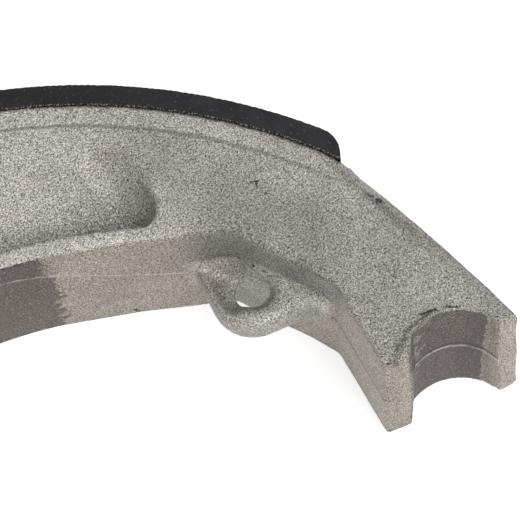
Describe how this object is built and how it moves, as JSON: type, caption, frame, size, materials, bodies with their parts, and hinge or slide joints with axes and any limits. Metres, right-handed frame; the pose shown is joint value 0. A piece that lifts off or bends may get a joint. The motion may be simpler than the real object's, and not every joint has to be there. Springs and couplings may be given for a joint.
{
  "type": "drum brake shoe",
  "caption": "Curved cast drum brake shoe with a bonded friction lining, a half-round anchor seat at one end, a flat cam face at the other and return spring lugs.",
  "frame": {"origin": "on the drum axis, half way through the shoe's width", "axes": "+Z along the drum axis, +Y from the drum axis to the middle of the lining, +X towards the anchor end"},
  "size_m": [0.1162, 0.0623, 0.02],
  "materials": {
    "cast_aluminium": "sand-cast, blasted",
    "friction_compound": "ground, matt"
  },
  "bodies": {
    "root": {"shoe_casting": "cast_aluminium", "friction_lining": "friction_compound"}
  },
  "joints": []
}
